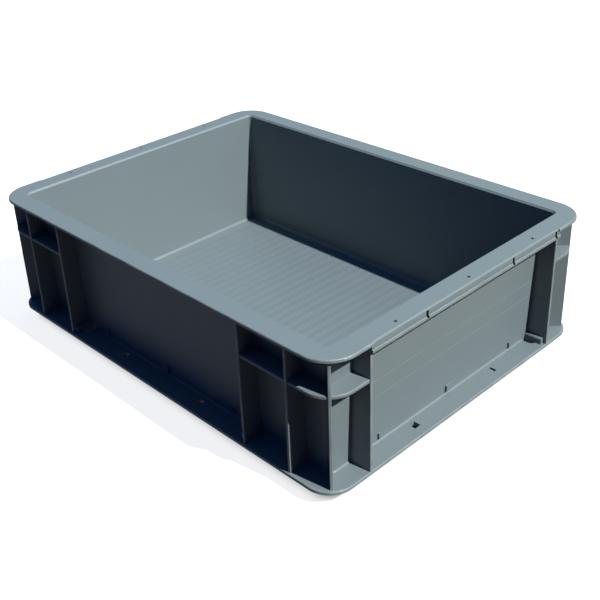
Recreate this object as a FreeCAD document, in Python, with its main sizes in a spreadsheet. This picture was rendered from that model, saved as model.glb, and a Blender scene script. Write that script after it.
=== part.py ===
import FreeCAD, Part
import math
import os
import Sketcher

# Open stacking container, 400 x 300 x 120, moulded in one piece.
# X runs along the long side, Y across it, Z up. The origin lies under the middle of the foot.

doc = FreeCAD.newDocument("stacking_container")
sheet = doc.addObject("Spreadsheet::Sheet", "Sizes")


def size(alias, value, meaning):
    """Writes one driving size, with its name and what it measures."""
    row = len(sizes_written) + 1
    sheet.set("A%d" % row, meaning)
    sheet.set("B%d" % row, str(value))
    sheet.setAlias("B%d" % row, alias)
    sizes_written.append(alias)


sizes_written = []

# Outline
size("outer_length", 400.0, "rim length over all")
size("outer_width", 300.0, "rim width over all")
size("total_height", 120.0, "foot to rim")

# Rim
size("rim_thickness", 3.0, "thickness of the rim plate")
size("rim_corner_radius", 25.0, "plan radius of the rim corners")
size("rim_edge_round", 1.1, "rounding of the rim's outer edge, above")
size("rim_edge_bevel", 0.6, "bevel of the rim's outer edge, below")
size("rim_reach_end", 16.7, "rim edge to wall, at the ends")
size("rim_reach_side", 15.9, "rim edge to wall, at the long sides")
size("mouth_bevel", 1.5, "bevel round the mouth")

# Walls and floor
size("wall_thickness", 2.2, "wall, measured level")
size("wall_draft", 2.0, "lean of the walls in degrees")
size("wall_corner_radius", 6.0, "outer plan radius of the wall corners")
size("floor_level", 6.4, "top of the floor above the ground")
size("floor_thickness", 2.6, "floor plate")
size("floor_round", 3.0, "rounding between floor and walls")

# Base flange and foot
size("foot_height", 11.1, "ground to flange underside")
size("flange_thickness", 3.0, "base flange")
size("flange_inset_end", 1.8, "flange edge behind the rim edge, at the ends")
size("flange_inset_side", 0.6, "flange edge behind the rim edge, at the sides")
size("flange_corner_radius", 21.0, "plan radius of the flange corners")
size("flange_edge_round", 0.8, "rounding of the flange edge, above")
size("flange_edge_bevel", 0.5, "bevel of the flange edge, below")
size("flange_root_round", 1.6, "rounding between wall and flange")
size("foot_bevel", 1.0, "lead-in bevel of the foot")
size("foot_ring_width", 3.2, "width of the ring that the container stands on")
size("base_rib_thickness", 2.0, "ribs under the floor")
size("base_rib_setback", 0.5, "base ribs above the ground")
size("base_rib_spacing", 58.0, "spacing of the base ribs")

# Ribs and corner shelves
size("rib_thickness", 2.4, "outer ribs")
size("rib_edge_round", 0.6, "rounding of the ribs' free edges")
size("rib_inset", 2.0, "rib edge behind the rim edge")
size("side_rib_inner", 111.0, "inner ribs of the long sides from the middle")
size("side_rib_outer", 157.5, "outer ribs of the long sides from the middle")
size("end_rib", 108.5, "ribs of the ends from the middle")
size("shelf_level", 88.3, "underside of the corner shelves")
size("shelf_thickness", 2.4, "corner shelves")
size("shelf_inset", 2.7, "shelf edge behind the rim edge")
size("shelf_edge_round", 0.9, "rounding of the shelves' outer edge, above")

# Grip skirts of the two ends
size("skirt_height", 8.5, "grip skirt below the rim top")
size("skirt_thickness", 1.8, "grip skirt")
size("skirt_setback", 0.8, "skirt face behind the rim edge")
size("skirt_top_round", 1.4, "rounding of the skirt's top edge")
size("bead_height", 3.0, "bead along the skirt's lower edge")
size("bead_round", 0.75, "rounding of the bead")
size("slit_width", 2.5, "slits in the skirt")
size("slit_height", 6.7, "slits in the skirt")
size("slit_sill", 0.6, "skirt below the slits")
size("slit_near", -53.6, "first slit from the middle")
size("slit_middle", 47.0, "second slit from the middle")
size("slit_far", 104.0, "third slit from the middle")

# Small lugs low on the walls
size("block_length", 7.0, "middle lug")
size("block_depth", 2.0, "middle lug")
size("block_height", 5.2, "middle lug")
size("tab_length", 2.5, "outer lugs")
size("tab_depth", 1.8, "outer lugs")
size("tab_height", 4.6, "outer lugs")
size("tab_place", 80.0, "outer lugs from the middle")
size("lug_sill", 2.9, "lugs above the flange")

# Ridges on the end panels
size("ridge_reach", 0.4, "ridge proud of the panel")
size("ridge_height", 0.8, "height of each ridge")
size("ridge_lower", 55.1, "lower ridge above the ground")
size("ridge_upper", 69.1, "upper ridge above the ground")
size("ridge_end_gap", 6.0, "ridge end to rib")

# Holes
size("rim_hole_diameter", 3.0, "holes in the rim")
size("rim_hole_edge", 7.0, "hole centre to rim edge")
size("rim_hole_spacing", 80.0, "holes along the rim")
size("window_length", 6.0, "openings in the flange, along it")
size("window_depth", 6.0, "openings in the flange, across it")
size("slot_length", 2.5, "narrow opening in the end flange")
size("window_place", 48.5, "flange openings from the middle")
size("window_wall_gap", 4.4, "flange opening to wall")
size("notch_length", 7.8, "notch beside a rib, along the flange")
size("notch_depth", 11.0, "notch beside a rib, out from the wall")
size("notch_round", 5.5, "rounded corner of the notch")
size("ledge_width", 3.4, "ledge over the notch")
size("ledge_rise", 5.2, "ledge above the flange")
size("ledge_reach", 15.5, "ledge out from the wall")
size("ledge_round", 1.6, "rounded edge of the ledge")
doc.recompute()

# Sizes that follow from others
HALF_LENGTH = "Sizes.outer_length / 2"
HALF_WIDTH = "Sizes.outer_width / 2"
FLANGE_TOP = "(Sizes.foot_height + Sizes.flange_thickness)"
RIM_UNDERSIDE = "(Sizes.total_height - Sizes.rim_thickness)"
RIB_END = "(%s - Sizes.rib_inset)" % HALF_LENGTH
RIB_SIDE = "(%s - Sizes.rib_inset)" % HALF_WIDTH
HALF_RIB = "Sizes.rib_thickness / 2"


def wall_end(level):
    """Outer face of the end walls at a level, measured from the middle."""
    lean = "tan(Sizes.wall_draft) * (Sizes.total_height - %s)" % level
    return "(%s - Sizes.rim_reach_end - %s)" % (HALF_LENGTH, lean)


def wall_side(level):
    """Outer face of the long walls at a level, measured from the middle."""
    lean = "tan(Sizes.wall_draft) * (Sizes.total_height - %s)" % level
    return "(%s - Sizes.rim_reach_side - %s)" % (HALF_WIDTH, lean)


def number(expression):
    """Value of an expression on the sheet's sizes."""
    value = sheet.evalExpression(expression)
    return float(getattr(value, "Value", value))


body = doc.addObject("PartDesign::Body", "container_body")
body.Label = "container_body"
planes = {}
axes = {}
for feature in body.Origin.OriginFeatures:
    if feature.TypeId == "App::Plane":
        planes[feature.Role] = feature
    if feature.TypeId == "App::Line":
        axes[feature.Role] = feature


def new_sketch(name, plane, level):
    """Sketch on one of the body's planes, lifted off it along its normal."""
    sketch = body.newObject("Sketcher::SketchObject", name)
    sketch.AttachmentSupport = [(planes[plane], "")]
    sketch.MapMode = "FlatFace"
    sketch.setExpression("AttachmentOffset.Base.z", level)
    return sketch


def bind(sketch, constraint, expression):
    """Adds a dimension to a sketch and ties it to the sheet."""
    index = sketch.addConstraint(constraint)
    sketch.setExpression("Constraints[%d]" % index, expression)


def add_outline(sketch, sides, rounds):
    """Closed outline of level and upright lines, each given by its distance from an axis.

    A side is ("x", expression) or ("y", expression). A round is the radius of the corner
    between a side and the next one, or None where the corner is sharp.
    """
    count = len(sides)
    places = [number(expression) for axis, expression in sides]
    radii = [number(radius) if radius else 0.0 for radius in rounds]
    corners = []
    for i in range(count):
        j = (i + 1) % count
        if sides[i][0] == "x":
            corners.append(FreeCAD.Vector(places[i], places[j], 0))
        else:
            corners.append(FreeCAD.Vector(places[j], places[i], 0))
    first = sketch.GeometryCount
    along = []
    for i in range(count):
        start = corners[i - 1]
        end = corners[i]
        direction = (end - start).normalize()
        along.append(direction)
        begin = start + direction * radii[i - 1]
        finish = end - direction * radii[i]
        sketch.addGeometry(Part.LineSegment(begin, finish), False)
        kind = "Vertical" if sides[i][0] == "x" else "Horizontal"
        sketch.addConstraint(Sketcher.Constraint(kind, first + i))
    for i in range(count):
        j = (i + 1) % count
        if not rounds[i]:
            sketch.addConstraint(Sketcher.Constraint("Coincident", first + i, 2, first + j, 1))
            continue
        before = corners[i] - along[i] * radii[i]
        after = corners[i] + along[j] * radii[i]
        centre = before + along[j] * radii[i]
        middle = centre + (corners[i] - centre).normalize() * radii[i]
        arc = sketch.addGeometry(Part.Arc(before, middle, after), False)
        turn = along[i].cross(along[j]).z
        begins, ends = (1, 2) if turn > 0 else (2, 1)
        sketch.addConstraint(Sketcher.Constraint("Tangent", first + i, 2, arc, begins))
        sketch.addConstraint(Sketcher.Constraint("Tangent", arc, ends, first + j, 1))
        bind(sketch, Sketcher.Constraint("Radius", arc, radii[i]), rounds[i])
    for i in range(count):
        kind = "DistanceX" if sides[i][0] == "x" else "DistanceY"
        bind(sketch, Sketcher.Constraint(kind, first + i, 1, places[i]), sides[i][1])


def box_outline(sketch, left, right, lower, upper, rounds=(None, None, None, None)):
    """Rectangle, with its corners named from the lower right one round to the lower left."""
    sides = [("y", lower), ("x", right), ("y", upper), ("x", left)]
    add_outline(sketch, sides, list(rounds))


def centred_outline(sketch, half_length, half_width, radius):
    """Rectangle about the middle with four equal round corners."""
    box_outline(sketch, "-" + half_length, half_length, "-" + half_width, half_width, [radius] * 4)


def pad(name, sketch, length):
    """Adds material along the sketch's normal."""
    feature = body.newObject("PartDesign::Pad", name)
    feature.Profile = sketch
    feature.setExpression("Length", length)
    doc.recompute()
    return feature


def symmetric_pad(name, sketch, length):
    """Adds material on both sides of the sketch."""
    feature = body.newObject("PartDesign::Pad", name)
    feature.Profile = sketch
    feature.SideType = "Symmetric"
    feature.setExpression("Length", length)
    doc.recompute()
    return feature


def pocket(name, sketch, length):
    """Cuts along the sketch's normal."""
    feature = body.newObject("PartDesign::Pocket", name)
    feature.Profile = sketch
    feature.Reversed = True
    feature.setExpression("Length", length)
    doc.recompute()
    return feature


def draft(name, base, half_length, half_width, outside):
    """Leans four upright walls outward from the ground up: the outside of a block or the inside of a hollow."""
    walls = []
    for index, face in enumerate(base.Shape.Faces, 1):
        box = face.BoundBox
        on_end = box.XLength < 1e-3 and abs(abs(box.XMin) - half_length) < 1e-3
        on_side = box.YLength < 1e-3 and abs(abs(box.YMin) - half_width) < 1e-3
        if on_end or on_side:
            walls.append("Face%d" % index)
    feature = body.newObject("PartDesign::Draft", name)
    feature.Base = (base, walls)
    feature.NeutralPlane = (planes["XY_Plane"], [""])
    feature.Reversed = outside
    feature.setExpression("Angle", "Sizes.wall_draft")
    doc.recompute()
    return feature


def leaning_edges(feature, half_length, half_width):
    """Names of the four edges where leaning walls meet, given where the walls stand at the ground."""
    names = []
    for index, edge in enumerate(feature.Shape.Edges, 1):
        low, high = sorted((edge.valueAt(edge.FirstParameter), edge.valueAt(edge.LastParameter)),
                           key=lambda point: point.z)
        if high.z - low.z < 1:
            continue
        moved = [point.z * math.tan(math.radians(number("Sizes.wall_draft"))) for point in (low, high)]
        on_end = [abs(abs(point.x) - half_length - lean) < 1e-3 for point, lean in zip((low, high), moved)]
        on_side = [abs(abs(point.y) - half_width - lean) < 1e-3 for point, lean in zip((low, high), moved)]
        if all(on_end) and all(on_side):
            names.append("Edge%d" % index)
    return names


def transform(name, originals, steps):
    """Repeats features by one or more pattern steps, each on all copies of the step before."""
    pattern = body.newObject("PartDesign::MultiTransform", name)
    pattern.Originals = originals
    pattern.Transformations = steps
    body.Tip = pattern
    doc.recompute()
    return pattern


def mirrored(name, originals, *plane_names):
    """Repeats features on the far side of each named plane."""
    steps = []
    for plane in plane_names:
        step = doc.addObject("PartDesign::Mirrored", name + "_" + plane)
        step.MirrorPlane = (planes[plane], [""])
        steps.append(step)
    return transform(name, originals, steps)


def repeat(name, original, axis, length, copies):
    """Repeats a feature evenly to both sides of the middle."""
    one_way = doc.addObject("PartDesign::LinearPattern", name + "_row")
    one_way.Direction = (axes[axis], [""])
    one_way.setExpression("Length", "(%s) / 2" % length)
    one_way.Occurrences = (copies + 1) // 2
    other_way = doc.addObject("PartDesign::Mirrored", name + "_other_way")
    other_way.MirrorPlane = (planes["YZ_Plane" if axis == "X_Axis" else "XZ_Plane"], [""])
    return transform(name, [original], [one_way, other_way])


def level_edges(feature, level, keep):
    """Names of a feature's edges that lie flat at a level and whose middle passes a test."""
    names = []
    for index, edge in enumerate(feature.Shape.Edges, 1):
        box = edge.BoundBox
        middle = edge.valueAt((edge.FirstParameter + edge.LastParameter) / 2)
        flat = abs(box.ZMin - level) < 1e-3 and abs(box.ZMax - level) < 1e-3
        if flat and keep(abs(middle.x), abs(middle.y)):
            names.append("Edge%d" % index)
    return names


def dress(kind, name, base, edges, dimension, expression):
    """Rounds or bevels named edges."""
    feature = body.newObject(kind, name)
    feature.Base = (base, edges)
    feature.setExpression(dimension, expression)
    doc.recompute()
    return feature


# Tub: four walls that lean outward from the foot to the rim, solid until it is hollowed
foot_end = wall_end("0")
foot_side = wall_side("0")
sketch = new_sketch("tub_outline", "XY_Plane", "0")
box_outline(sketch, "-" + foot_end, foot_end, "-" + foot_side, foot_side)
block = pad("tub_block", sketch, "Sizes.total_height")
tub = draft("tub", block, number(foot_end), number(foot_side), True)
edges = leaning_edges(tub, number(foot_end), number(foot_side))
tub_corners = dress("PartDesign::Fillet", "tub_corners", tub, edges, "Radius", "Sizes.wall_corner_radius")

# Foot: it drops into the mouth of the container below, so its edge leads in with a bevel
edges = level_edges(tub_corners, 0, lambda x, y: True)
dress("PartDesign::Chamfer", "foot_lead_in", tub_corners, edges, "Size", "Sizes.foot_bevel")
sketch = new_sketch("underside_outline", "XY_Plane", "0")
recess_length = "(%s - Sizes.foot_bevel - Sizes.foot_ring_width)" % wall_end("0")
recess_width = "(%s - Sizes.foot_bevel - Sizes.foot_ring_width)" % wall_side("0")
centred_outline(sketch, recess_length, recess_width, "Sizes.wall_corner_radius")
pocket("underside_recess", sketch, "Sizes.floor_level - Sizes.floor_thickness")

# Low ribs that stiffen the floor from below
rib_height = "Sizes.floor_level - Sizes.floor_thickness - Sizes.base_rib_setback"
half_base_rib = "Sizes.base_rib_thickness / 2"
sketch = new_sketch("base_rib_long", "XY_Plane", "Sizes.base_rib_setback")
box_outline(sketch, "-" + recess_length, recess_length, "-" + half_base_rib, half_base_rib)
long_rib = pad("base_rib_along", sketch, rib_height)
repeat("base_ribs_along", long_rib, "Y_Axis", "2 * Sizes.base_rib_spacing", 3)
sketch = new_sketch("base_rib_cross", "XY_Plane", "Sizes.base_rib_setback")
box_outline(sketch, "-" + half_base_rib, half_base_rib, "-" + recess_width, recess_width)
cross_rib = pad("base_rib_across", sketch, rib_height)
repeat("base_ribs_across", cross_rib, "X_Axis", "4 * Sizes.base_rib_spacing", 5)

# Base flange: a flat plate with rounded corners that lands on the rim of the container below
sketch = new_sketch("flange_outline", "XY_Plane", "Sizes.foot_height")
flange_end = "(%s - Sizes.flange_inset_end)" % HALF_LENGTH
flange_side = "(%s - Sizes.flange_inset_side)" % HALF_WIDTH
centred_outline(sketch, flange_end, flange_side, "Sizes.flange_corner_radius")
flange = pad("flange", sketch, "Sizes.flange_thickness")
near_end = number(wall_end(FLANGE_TOP)) + 0.5
near_side = number(wall_side(FLANGE_TOP)) + 0.5
edges = level_edges(flange, number(FLANGE_TOP), lambda x, y: x > near_end or y > near_side)
flange = dress("PartDesign::Fillet", "flange_round", flange, edges, "Radius", "Sizes.flange_edge_round")
edges = level_edges(flange, number("Sizes.foot_height"), lambda x, y: x > near_end or y > near_side)
flange = dress("PartDesign::Chamfer", "flange_bevel", flange, edges, "Size", "Sizes.flange_edge_bevel")
edges = level_edges(flange, number(FLANGE_TOP), lambda x, y: x < near_end and y < near_side)
dress("PartDesign::Fillet", "wall_root", flange, edges, "Radius", "Sizes.flange_root_round")

# Rim: a flat plate round the mouth, its outer edge rounded above and below
sketch = new_sketch("rim_outline", "XY_Plane", RIM_UNDERSIDE)
centred_outline(sketch, "(%s)" % HALF_LENGTH, "(%s)" % HALF_WIDTH, "Sizes.rim_corner_radius")
rim = pad("rim", sketch, "Sizes.rim_thickness")
far_end = number(wall_end("Sizes.total_height")) + 3
far_side = number(wall_side("Sizes.total_height")) + 3
edges = level_edges(rim, number("Sizes.total_height"), lambda x, y: x > far_end or y > far_side)
rim = dress("PartDesign::Fillet", "rim_round", rim, edges, "Radius", "Sizes.rim_edge_round")
edges = level_edges(rim, number(RIM_UNDERSIDE), lambda x, y: x > far_end or y > far_side)
dress("PartDesign::Chamfer", "rim_bevel", rim, edges, "Size", "Sizes.rim_edge_bevel")

# Row of small holes in the rim at each end
sketch = new_sketch("rim_hole_circle", "XY_Plane", RIM_UNDERSIDE)
hole_x = "(%s - Sizes.rim_hole_edge)" % HALF_LENGTH
centre = FreeCAD.Vector(number(hole_x), -number("Sizes.rim_hole_spacing"), 0)
circle = sketch.addGeometry(Part.Circle(centre, FreeCAD.Vector(0, 0, 1), number("Sizes.rim_hole_diameter") / 2), False)
bind(sketch, Sketcher.Constraint("DistanceX", circle, 3, centre.x), hole_x)
bind(sketch, Sketcher.Constraint("DistanceY", circle, 3, centre.y), "-Sizes.rim_hole_spacing")
bind(sketch, Sketcher.Constraint("Diameter", circle, number("Sizes.rim_hole_diameter")), "Sizes.rim_hole_diameter")
rim_hole = pocket("rim_hole", sketch, "Sizes.rim_thickness")
row = doc.addObject("PartDesign::LinearPattern", "rim_hole_row")
row.Direction = (axes["Y_Axis"], [""])
row.setExpression("Length", "2 * Sizes.rim_hole_spacing")
row.Occurrences = 3
both = doc.addObject("PartDesign::Mirrored", "rim_hole_ends")
both.MirrorPlane = (planes["YZ_Plane"], [""])
transform("rim_holes", [rim_hole], [row, both])

# Two thin ridges across each end panel
ridge_side = "(Sizes.end_rib - %s - Sizes.ridge_end_gap)" % HALF_RIB
for name, level in (("ridge_low", "Sizes.ridge_lower"), ("ridge_high", "Sizes.ridge_upper")):
    sketch = new_sketch(name + "_outline", "XY_Plane", level)
    ridge_end = "(%s + Sizes.ridge_reach)" % wall_end(level)
    box_outline(sketch, "-" + ridge_end, ridge_end, "-" + ridge_side, ridge_side)
    pad(name, sketch, "Sizes.ridge_height")

# Grip skirts: at each end the rim steps back between the end ribs and turns down,
# with a rounded bead along its lower edge and a gap behind it for the fingers
skirt_face = "(%s - Sizes.skirt_setback)" % HALF_LENGTH
skirt_back = "(%s - Sizes.skirt_thickness)" % skirt_face
skirt_bottom = "(Sizes.total_height - Sizes.skirt_height)"
sketch = new_sketch("rim_step", "XY_Plane", RIM_UNDERSIDE)
step_side = "(Sizes.end_rib - %s)" % HALF_RIB
box_outline(sketch, skirt_back, "(%s + Sizes.skirt_thickness)" % HALF_LENGTH, "-" + step_side, step_side)
rim_step = pocket("rim_step_cut", sketch, "Sizes.rim_thickness")
sketch = new_sketch("skirt_section", "XZ_Plane", "0")
sides = [("y", skirt_bottom), ("x", HALF_LENGTH), ("y", "(%s + Sizes.bead_height)" % skirt_bottom),
         ("x", skirt_face), ("y", "Sizes.total_height"), ("x", skirt_back)]
add_outline(sketch, sides, ["Sizes.bead_round", "Sizes.bead_round", None, "Sizes.skirt_top_round", None, None])
skirt = symmetric_pad("skirt", sketch, "2 * Sizes.end_rib + Sizes.rib_thickness")

# Slits through the skirt
sketch = new_sketch("slit_outlines", "YZ_Plane", skirt_back)
slit_bottom = "(%s + Sizes.slit_sill)" % skirt_bottom
for place in ("Sizes.slit_near", "Sizes.slit_middle", "Sizes.slit_far"):
    box_outline(sketch, "(%s - Sizes.slit_width / 2)" % place, "(%s + Sizes.slit_width / 2)" % place,
                slit_bottom, "(%s + Sizes.slit_height)" % slit_bottom)
slits = pocket("slits", sketch, "Sizes.skirt_thickness + Sizes.skirt_setback")
mirrored("both_skirts", [rim_step, skirt, slits], "YZ_Plane")

# Openings through the flange: a square one and a narrow one in each end, two in each side
window_inner = "(%s + Sizes.window_wall_gap)" % wall_end(FLANGE_TOP)
window_outer = "(%s + Sizes.window_depth)" % window_inner
sketch = new_sketch("end_windows", "XY_Plane", "Sizes.foot_height")
for place, length in (("-Sizes.window_place", "Sizes.window_length"), ("Sizes.window_place", "Sizes.slot_length")):
    box_outline(sketch, window_inner, window_outer,
                "(%s - %s / 2)" % (place, length), "(%s + %s / 2)" % (place, length))
end_windows = pocket("end_window_cut", sketch, "Sizes.flange_thickness")
sketch = new_sketch("side_windows", "XY_Plane", "Sizes.foot_height")
window_inner = "(%s + Sizes.window_wall_gap)" % wall_side(FLANGE_TOP)
for sign in ("-", ""):
    place = sign + "Sizes.window_place"
    box_outline(sketch, "(%s - Sizes.window_length / 2)" % place, "(%s + Sizes.window_length / 2)" % place,
                window_inner, "(%s + Sizes.window_depth)" % window_inner)
side_windows = pocket("side_window_cut", sketch, "Sizes.flange_thickness")
mirrored("other_end_windows", [end_windows], "YZ_Plane")
mirrored("other_side_windows", [side_windows], "XZ_Plane")

# Outer ribs, drawn in one corner from inside the wall to their free edge, rounded there
edge_rounds = ["Sizes.rib_edge_round", "Sizes.rib_edge_round"]
rib_length = "(%s - %s)" % (RIM_UNDERSIDE, FLANGE_TOP)
in_side_wall = "(%s - Sizes.wall_thickness)" % wall_side(FLANGE_TOP)
in_end_wall = "(%s - Sizes.wall_thickness)" % wall_end(FLANGE_TOP)
sketch = new_sketch("rib_sections", "XY_Plane", FLANGE_TOP)
for place in ("Sizes.side_rib_inner", "Sizes.side_rib_outer"):
    box_outline(sketch, "(%s - %s)" % (place, HALF_RIB), "(%s + %s)" % (place, HALF_RIB),
                in_side_wall, RIB_SIDE, [None] + edge_rounds + [None])
box_outline(sketch, in_end_wall, RIB_END, "(Sizes.end_rib - %s)" % HALF_RIB, "(Sizes.end_rib + %s)" % HALF_RIB,
            edge_rounds + [None, None])
corner = [pad("ribs", sketch, rib_length)]

# Diagonal rib out to the round corner, starting under the centre of the corner's radius
sketch = new_sketch("rib_corner_section", "XY_Plane", FLANGE_TOP)
sketch.AttachmentOffset = FreeCAD.Placement(FreeCAD.Vector(0, 0, 0), FreeCAD.Rotation(45, 0, 0))
sketch.setExpression("AttachmentOffset.Base.x", "%s - Sizes.rim_corner_radius" % HALF_LENGTH)
sketch.setExpression("AttachmentOffset.Base.y", "%s - Sizes.rim_corner_radius" % HALF_WIDTH)
corner_reach = "(Sizes.rim_corner_radius - Sizes.rib_inset)"
box_outline(sketch, "0", corner_reach, "-" + HALF_RIB, HALF_RIB, edge_rounds + [None, None])
corner.append(pad("rib_corner", sketch, rib_length))

# Level shelf that ties the corner ribs together
sketch = new_sketch("shelf_outline", "XY_Plane", "Sizes.shelf_level")
shelf_end = "(%s - Sizes.shelf_inset)" % HALF_LENGTH
shelf_side = "(%s - Sizes.shelf_inset)" % HALF_WIDTH
shelf_corner = "(Sizes.rim_corner_radius - Sizes.shelf_inset)"
box_outline(sketch, "Sizes.side_rib_inner", shelf_end, "Sizes.end_rib", shelf_side, [None, shelf_corner, None, None])
corner.append(pad("shelf", sketch, "Sizes.shelf_thickness"))

# Small lugs low on the walls: one in the middle and one near each end
for name, place, length, depth, height in (
        ("middle_block", "0", "Sizes.block_length", "Sizes.block_depth", "Sizes.block_height"),
        ("tab", "Sizes.tab_place", "Sizes.tab_length", "Sizes.tab_depth", "Sizes.tab_height")):
    near = "(%s - %s / 2)" % (place, length)
    far = "(%s + %s / 2)" % (place, length)
    sketch = new_sketch(name + "_outlines", "XY_Plane", "%s + Sizes.lug_sill" % FLANGE_TOP)
    box_outline(sketch, near, far, in_side_wall, "(%s + %s)" % (wall_side(FLANGE_TOP), depth))
    box_outline(sketch, in_end_wall, "(%s + %s)" % (wall_end(FLANGE_TOP), depth), near, far)
    corner.append(pad(name, sketch, height))

# Notches through the flange beside the inner ribs
root_level = "(%s + Sizes.flange_root_round)" % FLANGE_TOP
side_rib_face = "(Sizes.side_rib_inner - %s)" % HALF_RIB
end_rib_face = "(Sizes.end_rib - %s)" % HALF_RIB
sketch = new_sketch("notch_outlines", "XY_Plane", "Sizes.foot_height")
wall = wall_side(root_level)
box_outline(sketch, "(%s - Sizes.notch_length)" % side_rib_face, side_rib_face,
            wall, "(%s + Sizes.notch_depth)" % wall, [None, None, "Sizes.notch_round", None])
wall = wall_end(root_level)
box_outline(sketch, wall, "(%s + Sizes.notch_depth)" % wall, "(%s - Sizes.notch_length)" % end_rib_face,
            end_rib_face, ["Sizes.notch_round", None, None, None])
corner.append(pocket("notches", sketch, "Sizes.flange_thickness + Sizes.flange_root_round"))

# Rounded ledge along the foot of each inner rib, over its notch
for name, plane, face, wall, away in (
        ("ledge_on_side", "XZ_Plane", side_rib_face, wall_side(FLANGE_TOP), "-1"),
        ("ledge_on_end", "YZ_Plane", end_rib_face, wall_end(FLANGE_TOP), "1")):
    sketch = new_sketch(name + "_section", plane, "%s * (%s - Sizes.wall_thickness)" % (away, wall))
    box_outline(sketch, "(%s - Sizes.ledge_width)" % face, face, "Sizes.foot_height",
                "(%s + Sizes.ledge_rise)" % FLANGE_TOP, [None, None, "Sizes.ledge_round", None])
    ledge = pad(name, sketch, "Sizes.ledge_reach + Sizes.wall_thickness")
    ledge.Reversed = away == "-1"
    corner.append(ledge)
all_corners = mirrored("all_corners", corner, "XZ_Plane", "YZ_Plane")
shelf_top = number("Sizes.shelf_level + Sizes.shelf_thickness")


def on_shelf_edge(x, y):
    """Whether a place lies on the outer edge of a shelf."""
    over_end = x - number(HALF_LENGTH) + number("Sizes.rim_corner_radius")
    over_side = y - number(HALF_WIDTH) + number("Sizes.rim_corner_radius")
    reach = math.hypot(over_end, over_side) if min(over_end, over_side) > 0 else max(over_end, over_side)
    return abs(reach - number(shelf_corner)) < 1e-3


edges = level_edges(all_corners, shelf_top, on_shelf_edge)
dress("PartDesign::Fillet", "shelf_round", all_corners, edges, "Radius", "Sizes.shelf_edge_round")

# Hollow: the walls keep one thickness and the floor is rounded into them
hollow_end = "(%s - Sizes.wall_thickness)" % foot_end
hollow_side = "(%s - Sizes.wall_thickness)" % foot_side
sketch = new_sketch("hollow_outline", "XY_Plane", "Sizes.floor_level")
box_outline(sketch, "-" + hollow_end, hollow_end, "-" + hollow_side, hollow_side)
hollow_block = pocket("hollow_block", sketch, "Sizes.total_height - Sizes.floor_level")
hollow = draft("hollow", hollow_block, number(hollow_end), number(hollow_side), False)
edges = leaning_edges(hollow, number(hollow_end), number(hollow_side))
hollow = dress("PartDesign::Fillet", "hollow_corners", hollow, edges, "Radius",
               "Sizes.wall_corner_radius - Sizes.wall_thickness")
edges = level_edges(hollow, number("Sizes.floor_level"), lambda x, y: True)
hollow = dress("PartDesign::Fillet", "floor_edge_round", hollow, edges, "Radius", "Sizes.floor_round")

# Bevel round the mouth
mouth_end = number(wall_end("Sizes.total_height")) - number("Sizes.wall_thickness") + 0.1
mouth_side = number(wall_side("Sizes.total_height")) - number("Sizes.wall_thickness") + 0.1
edges = level_edges(hollow, number("Sizes.total_height"), lambda x, y: x < mouth_end and y < mouth_side)
dress("PartDesign::Chamfer", "mouth_edge_bevel", hollow, edges, "Size", "Sizes.mouth_bevel")

doc.recompute()
for item in doc.Objects:
    if "Invalid" in item.State or "Error" in item.State:
        raise RuntimeError("%s could not be built" % item.Name)
shape = body.Shape
if shape.isNull() or not shape.isValid() or len(shape.Solids) != 1:
    raise RuntimeError("the container is not one valid solid")
os.makedirs("parts", exist_ok=True)
shape.exportStep("parts/%s.step" % body.Label)
print("volume", round(shape.Volume), "faces", len(shape.Faces), "box", shape.BoundBox)
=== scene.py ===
import bpy
import math
from mathutils import Matrix, Vector


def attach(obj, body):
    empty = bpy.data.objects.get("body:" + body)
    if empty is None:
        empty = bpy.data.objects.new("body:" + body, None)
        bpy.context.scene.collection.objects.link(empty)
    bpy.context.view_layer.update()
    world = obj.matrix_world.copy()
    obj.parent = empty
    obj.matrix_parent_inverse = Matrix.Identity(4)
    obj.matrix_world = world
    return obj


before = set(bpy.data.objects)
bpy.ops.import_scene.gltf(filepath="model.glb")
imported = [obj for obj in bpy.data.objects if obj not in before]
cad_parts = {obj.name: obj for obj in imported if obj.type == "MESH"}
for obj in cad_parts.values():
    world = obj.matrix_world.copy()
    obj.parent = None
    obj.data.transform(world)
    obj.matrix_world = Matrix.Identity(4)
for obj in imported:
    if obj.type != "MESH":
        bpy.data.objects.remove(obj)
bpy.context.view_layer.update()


# Container shell
# The whole container is one injection moulding in slate blue-grey polypropylene. The tool gave it a fine
# spark-eroded grain, faint flow marks and brushed lines along the rim. Its rim, rib tips and bead are a
# little glossier and carry a painted highlight, a lighter colour in random patches; random scuffs share that
# colour.
MM = 0.001
SHELL_COLOUR = (0.107, 0.135, 0.143, 1.0)
SHELL_PALE = (0.119, 0.149, 0.157, 1.0)
# Colour of the painted highlight, also used for the random scuffs.
SCUFF_AND_HIGHLIGHT_COLOUR = (0.165, 0.195, 0.203, 1.0)
SHELL_ROUGHNESS = 0.46
SHELL_GLOSS = 0.42
SHELL_IOR = 1.49
CORNER_CENTRE = (175.0 * MM, 125.0 * MM)
RIM_REACH = 25.0 * MM
RIB_REACH = 23.0 * MM
RIM_BOTTOM = 117.0 * MM
RIM_TOP = 120.0 * MM
SKIRT_BOTTOM = 111.5 * MM
BEAD_TOP = 114.5 * MM
RIM_HIGHLIGHT_WIDTH = 1.4 * MM
RIB_HIGHLIGHT_WIDTH = 0.8 * MM
BEAD_HIGHLIGHT_WIDTH = 0.6 * MM
CLOUD_SCALE = 9.0
PATCH_NOISE_SCALE = 55.0
HIGHLIGHT_PATCHES = (0.34, 0.62)
SCUFF_SCALE = 16.0
SCUFF_STRETCH = (1.0, 1.0, 7.0)
SCUFF_PATCHES = (0.60, 0.78)
BRUSHED_STRETCH = (14.0, 420.0, 420.0)
BRUSHED_DEPTH = 0.4 * MM
GRAIN_SCALE = 1400.0
HIGHLIGHT_SHARE = 0.75
SCUFF_SHARE = 0.10
RELIEF_HEIGHT = 0.06 * MM
RELIEF_STRENGTH = 0.22


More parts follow.
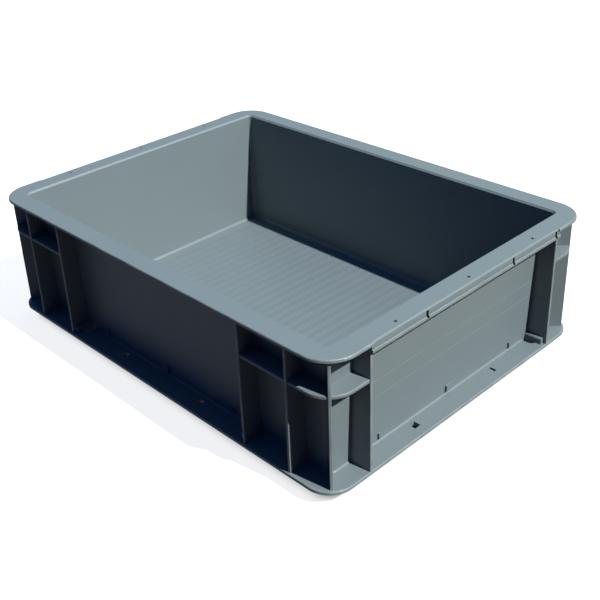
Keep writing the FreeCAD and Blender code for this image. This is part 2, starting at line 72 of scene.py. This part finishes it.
class Shade:
    """One socket of a node tree, so that its maths can be written as expressions."""

    def __init__(self, tree, socket):
        self.tree = tree
        self.socket = socket

    def node(self, kind, settings=None, output=0, **inputs):
        """Adds a node: its settings first, then the values or links of its sockets."""
        made = self.tree.nodes.new(kind)
        for name, value in (settings or {}).items():
            setattr(made, name, value)
        for name, value in inputs.items():
            key = int(name[1:]) if name[0] == "_" else name.replace("_", " ")
            if isinstance(value, Shade):
                self.tree.links.new(value.socket, made.inputs[key])
            else:
                made.inputs[key].default_value = value
        return Shade(self.tree, made.outputs[output])

    def maths(self, operation, left, right):
        return self.node("ShaderNodeMath", {"operation": operation}, _0=left, _1=right)

    def __add__(self, other):
        return self.maths("ADD", self, other)

    def __radd__(self, other):
        return self.maths("ADD", other, self)

    def __sub__(self, other):
        return self.maths("SUBTRACT", self, other)

    def __rsub__(self, other):
        return self.maths("SUBTRACT", other, self)

    def __mul__(self, other):
        return self.maths("MULTIPLY", self, other)

    def __rmul__(self, other):
        return self.maths("MULTIPLY", other, self)

    def __truediv__(self, other):
        return self.maths("DIVIDE", self, other)

    def __pow__(self, other):
        return self.maths("POWER", self, other)

    def __abs__(self):
        return self.maths("ABSOLUTE", self, 0.0)

    def at_least(self, bound):
        return self.maths("MAXIMUM", self, bound)

    def at_most(self, bound):
        return self.maths("MINIMUM", self, bound)

    def rise(self, start, end):
        """Goes from 0 to 1 while this value goes from start to end."""
        return self.node("ShaderNodeMapRange", {"interpolation_type": "SMOOTHSTEP"},
                         Value=self, From_Min=start, From_Max=end)

    def blend(self, low, high):
        """Colour between two others, with this value as the share of the second."""
        return self.node("ShaderNodeMix", {"data_type": "RGBA"}, 2, Factor=self, _6=low, _7=high)

    def noise(self, scale, detail, stretch=(1.0, 1.0, 1.0)):
        """Noise at this place, finer along an axis where the stretch is larger."""
        place = self.node("ShaderNodeVectorMath", {"operation": "MULTIPLY"}, _0=self, _1=stretch)
        return self.node("ShaderNodeTexNoise", Vector=place, Scale=scale, Detail=detail, Roughness=0.6)

    def axis(self, index):
        """One coordinate of this place: 0 for X, 1 for Y, 2 for Z."""
        return self.node("ShaderNodeSeparateXYZ", None, index, Vector=self)

    def into(self, shader, socket):
        self.tree.links.new(self.socket, shader.inputs[socket])


def new_material(name):
    """Empty material: itself, its Principled shader, and its object coordinates."""
    material = bpy.data.materials.new(name)
    material.use_nodes = True
    tree = material.node_tree
    place = tree.nodes.new("ShaderNodeTexCoord").outputs["Object"]
    return material, tree.nodes["Principled BSDF"], Shade(tree, place)


shell_plastic, shader, place = new_material("slate_polypropylene")
height = place.axis(2)
past_end = (abs(place.axis(0)) - CORNER_CENTRE[0]).at_least(0.0)
past_side = (abs(place.axis(1)) - CORNER_CENTRE[1]).at_least(0.0)
outward = (past_end * past_end + past_side * past_side) ** 0.5
# Painted highlight: a thin lighter band along the outer rim, the rib tips and the bead, where light catches
# their rounded corners.
below_skirt = 1.0 - height.rise(SKIRT_BOTTOM - 1.0 * MM, SKIRT_BOTTOM)
at_bead = (height.rise(SKIRT_BOTTOM - 0.2 * MM, SKIRT_BOTTOM)
           * (1.0 - height.rise(BEAD_TOP, BEAD_TOP + 0.4 * MM)))
on_rim = height.rise(RIM_BOTTOM - 0.5 * MM, RIM_BOTTOM) * outward.rise(RIM_REACH - RIM_HIGHLIGHT_WIDTH, RIM_REACH)
on_ribs = below_skirt * outward.rise(RIB_REACH - RIB_HIGHLIGHT_WIDTH, RIB_REACH)
on_bead = at_bead * outward.rise(RIM_REACH - BEAD_HIGHLIGHT_WIDTH, RIM_REACH)
clouds = place.noise(CLOUD_SCALE, 3.0)
patch_noise = place.noise(PATCH_NOISE_SCALE, 4.0)
scuffs = place.noise(SCUFF_SCALE, 5.0, SCUFF_STRETCH).rise(*SCUFF_PATCHES)
brushed = place.noise(1.0, 4.0, BRUSHED_STRETCH) * height.rise(RIM_TOP - BRUSHED_DEPTH, RIM_TOP)
grain = place.noise(GRAIN_SCALE, 2.0)
# Painted highlight, broken into random patches; the random scuffs take the same lighter colour.
painted_edge_highlight = (on_rim + on_ribs + on_bead) * patch_noise.rise(*HIGHLIGHT_PATCHES)
body = (clouds * 0.6 + patch_noise * 0.25 + brushed * 0.5).blend(SHELL_COLOUR, SHELL_PALE)
(painted_edge_highlight * HIGHLIGHT_SHARE + scuffs * SCUFF_SHARE).blend(body, SCUFF_AND_HIGHLIGHT_COLOUR).into(shader, "Base Color")
roughness = SHELL_ROUGHNESS - 0.06 + clouds * 0.06 + patch_noise * 0.08 - painted_edge_highlight * 0.10 + scuffs * 0.08
roughness.into(shader, "Roughness")
relief = place.node("ShaderNodeBump", Height=grain + brushed * 1.5, Strength=RELIEF_STRENGTH,
                    Distance=RELIEF_HEIGHT)
relief.into(shader, "Normal")
shader.inputs["Specular IOR Level"].default_value = SHELL_GLOSS
shader.inputs["IOR"].default_value = SHELL_IOR
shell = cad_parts["container_body"]
for slot in shell.material_slots:
    slot.material = shell_plastic


# Floor grid
# The inside of the floor carries a faint grid of low rounded lines, ten millimetres apart, that were cut
# into the core of the tool. They stop short of the walls, so the floor stays smooth along its edge.
FLOOR_LEVEL = 6.4 * MM
GRID_PITCH = 10.0 * MM
GRID_LENGTH = 330.0 * MM
GRID_WIDTH = 230.0 * MM
GRID_STEPS = 6
GRID_FADE = 5.0 * MM
WAVE_HEIGHT = 0.11 * MM
SKIN_DEPTH = 0.40 * MM
SKIN_START = 0.05 * MM
SKIN_RISE = 0.27 * MM

grid_group = bpy.data.node_groups.new("floor_grid", "GeometryNodeTree")
grid_group.interface.new_socket("Geometry", in_out="OUTPUT", socket_type="NodeSocketGeometry")
grid_values = {"Pitch": GRID_PITCH, "Wave Height": WAVE_HEIGHT}
sockets = {}
for name in grid_values:
    sockets[name] = grid_group.interface.new_socket(name, in_out="INPUT", socket_type="NodeSocketFloat")
given = grid_group.nodes.new("NodeGroupInput").outputs
pitch = Shade(grid_group, given["Pitch"])
swell = Shade(grid_group, given["Wave Height"])
skin = pitch.node("GeometryNodeMeshCube", Size=(GRID_LENGTH, GRID_WIDTH, SKIN_DEPTH),
                  Vertices_X=round(GRID_LENGTH / GRID_PITCH * GRID_STEPS) + 1,
                  Vertices_Y=round(GRID_WIDTH / GRID_PITCH * GRID_STEPS) + 1)
point = pitch.node("GeometryNodeInputPosition")
on_top = point.maths("GREATER_THAN", point.axis(2), 0.0)
lift = SKIN_RISE
for index, reach in enumerate((GRID_LENGTH / 2, GRID_WIDTH / 2)):
    turns = point.axis(index) / pitch * math.tau
    lift = turns.maths("COSINE", turns, 0.0) * swell + lift
    on_top = on_top * (1.0 - abs(point.axis(index)).rise(reach - GRID_FADE, reach))
raised = pitch.node("GeometryNodeSetPosition", Geometry=skin,
                    Offset=pitch.node("ShaderNodeCombineXYZ", Z=lift * on_top))
laid = pitch.node("GeometryNodeTransform", Geometry=raised,
                  Translation=(0.0, 0.0, FLOOR_LEVEL - SKIN_START - SKIN_DEPTH / 2))
real = pitch.node("GeometryNodeRealizeInstances", Geometry=laid)
coated = pitch.node("GeometryNodeSetMaterial", Geometry=real, Material=shell_plastic)
coated.into(grid_group.nodes.new("NodeGroupOutput"), "Geometry")

maker = bpy.data.objects.new("floor_grid_maker", bpy.data.meshes.new("floor_grid_maker"))
bpy.context.scene.collection.objects.link(maker)
modifier = maker.modifiers.new("floor_grid", "NODES")
modifier.node_group = grid_group
for name, value in grid_values.items():
    modifier[sockets[name].identifier] = value
evaluated = maker.evaluated_get(bpy.context.evaluated_depsgraph_get())
floor_grid = bpy.data.objects.new("floor_grid", bpy.data.meshes.new_from_object(evaluated))
bpy.data.objects.remove(maker)
bpy.context.scene.collection.objects.link(floor_grid)
for polygon in floor_grid.data.polygons:
    polygon.use_smooth = True
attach(floor_grid, "root")


# Floor
# The container stands on a plain pale sheet with an even glow. Right under the container the sheet carries a
# painted shade, black and without glow, and a dark underlay keeps light from coming up through the windows
# of the flange.
PAPER_COLOUR = (0.30, 0.30, 0.30, 1.0)
PAPER_GLOW = 0.86
PAPER_ROUGHNESS = 0.9
BLACK = (0.0, 0.0, 0.0, 1.0)
WHITE = (1.0, 1.0, 1.0, 1.0)
UNDERLAY_COLOUR = (0.02, 0.02, 0.02, 1.0)
SHEET_REACH = 6.0
FOOTPRINT = (0.187, 0.138)
SHADE_EDGE = 0.010


def flat_sheet(name, reach_x, reach_y, material):
    """Level sheet of one face around the origin, at the height that the foot stands on."""
    corners = [(-reach_x, -reach_y, 0), (reach_x, -reach_y, 0),
               (reach_x, reach_y, 0), (-reach_x, reach_y, 0)]
    mesh = bpy.data.meshes.new(name)
    mesh.from_pydata(corners, [], [(0, 1, 2, 3)])
    mesh.materials.append(material)
    sheet = bpy.data.objects.new(name, mesh)
    bpy.context.scene.collection.objects.link(sheet)
    return sheet


paper, shader, place = new_material("pale_paper")
# Painted shade: the sheet turns black, without glow, under the container's footprint.
beside = (abs(place.axis(0)).rise(FOOTPRINT[0] - SHADE_EDGE, FOOTPRINT[0] + SHADE_EDGE)
          + abs(place.axis(1)).rise(FOOTPRINT[1] - SHADE_EDGE, FOOTPRINT[1] + SHADE_EDGE)).at_most(1.0)
beside.blend(BLACK, PAPER_COLOUR).into(shader, "Base Color")
(beside * PAPER_GLOW).blend(BLACK, WHITE).into(shader, "Emission Color")
shader.inputs["Emission Strength"].default_value = 1.0
shader.inputs["Roughness"].default_value = PAPER_ROUGHNESS
pale_sheet = flat_sheet("pale_sheet", SHEET_REACH, SHEET_REACH, paper)
pale_sheet.visible_diffuse = False
pale_sheet.visible_glossy = False
pale_sheet.visible_shadow = False

underlay, shader, place = new_material("dark_underlay")
shader.inputs["Base Color"].default_value = UNDERLAY_COLOUR
shader.inputs["Roughness"].default_value = PAPER_ROUGHNESS
shade_under_box = flat_sheet("shade_under_box", FOOTPRINT[0], FOOTPRINT[1], underlay)
shade_under_box.visible_camera = False


# Light
# One lamp stands to the right of the container, and broad soft panels surround it. Each panel is a direction,
# how narrow its light is, and its colour; the strongest hangs above the far side.
KEY_FROM = Vector((1.0, 0.165, 1.07))
KEY_STRENGTH = 7.83
KEY_COLOUR = (1.0, 0.992, 0.985)
KEY_SPREAD = math.radians(1.2)
SOFT_PANELS = (((0, 1, 1), 8, (1.41, 1.92, 1.92)),
               ((0, 0, 1), 5, (0.03, 0.20, 0.63)),
               ((0, 1, 0), 3, (0.20, 0.16, 0.08)),
               ((-1, 0, 0), 3, (0.16, 0.21, 0.47)),
               ((1, 0, 0), 3, (0.04, 0.04, 0.11)),
               ((0, -1, 0), 3, (0.0, 0.02, 0.12)),
               ((0, 0, -1), 1, (0.38, 0.36, 0.22)))

key_data = bpy.data.lights.new("key", "SUN")
key_data.energy = KEY_STRENGTH
key_data.angle = KEY_SPREAD
key_data.color = KEY_COLOUR
key = bpy.data.objects.new("key", key_data)
bpy.context.scene.collection.objects.link(key)
key.rotation_euler = KEY_FROM.to_track_quat("Z", "Y").to_euler()

world = bpy.data.worlds.new("studio")
bpy.context.scene.world = world
world.use_nodes = True
background = world.node_tree.nodes["Background"]
bearing = world.node_tree.nodes.new("ShaderNodeTexCoord").outputs["Generated"]
direction = Shade(world.node_tree, bearing)
studio = [0.0, 0.0, 0.0]
for axis, narrowness, colour in SOFT_PANELS:
    facing = direction.node("ShaderNodeVectorMath", {"operation": "DOT_PRODUCT"}, 1,
                            _0=direction, _1=Vector(axis).normalized())
    glow = facing.at_least(0.0) ** narrowness
    studio = [glow * share + part for share, part in zip(colour, studio)]
studio = direction.node("ShaderNodeCombineColor", Red=studio[0], Green=studio[1], Blue=studio[2])
studio.into(background, "Color")


# Camera
# It looks down on the near corner from the right, at the photograph's angle and distance.
SENSOR_WIDTH = 36.0
LENS = 57.58
SHIFT = (0.0296, -0.0681)
TO_RIGHT = Vector((0.6949, 0.7179, -0.0416))
TO_TOP = Vector((-0.3100, 0.3513, 0.8834))
STANDPOINT = Vector((0.5370, -0.4966, 0.4522))

camera_data = bpy.data.cameras.new("camera")
camera_data.sensor_width = SENSOR_WIDTH
camera_data.lens = LENS
camera_data.shift_x, camera_data.shift_y = SHIFT
camera = bpy.data.objects.new("camera", camera_data)
bpy.context.scene.collection.objects.link(camera)
placed = Matrix((TO_RIGHT, TO_TOP, TO_RIGHT.cross(TO_TOP))).transposed().to_4x4()
placed.translation = STANDPOINT
camera.matrix_world = placed
bpy.context.scene.camera = camera
bpy.context.scene.view_settings.view_transform = "Standard"
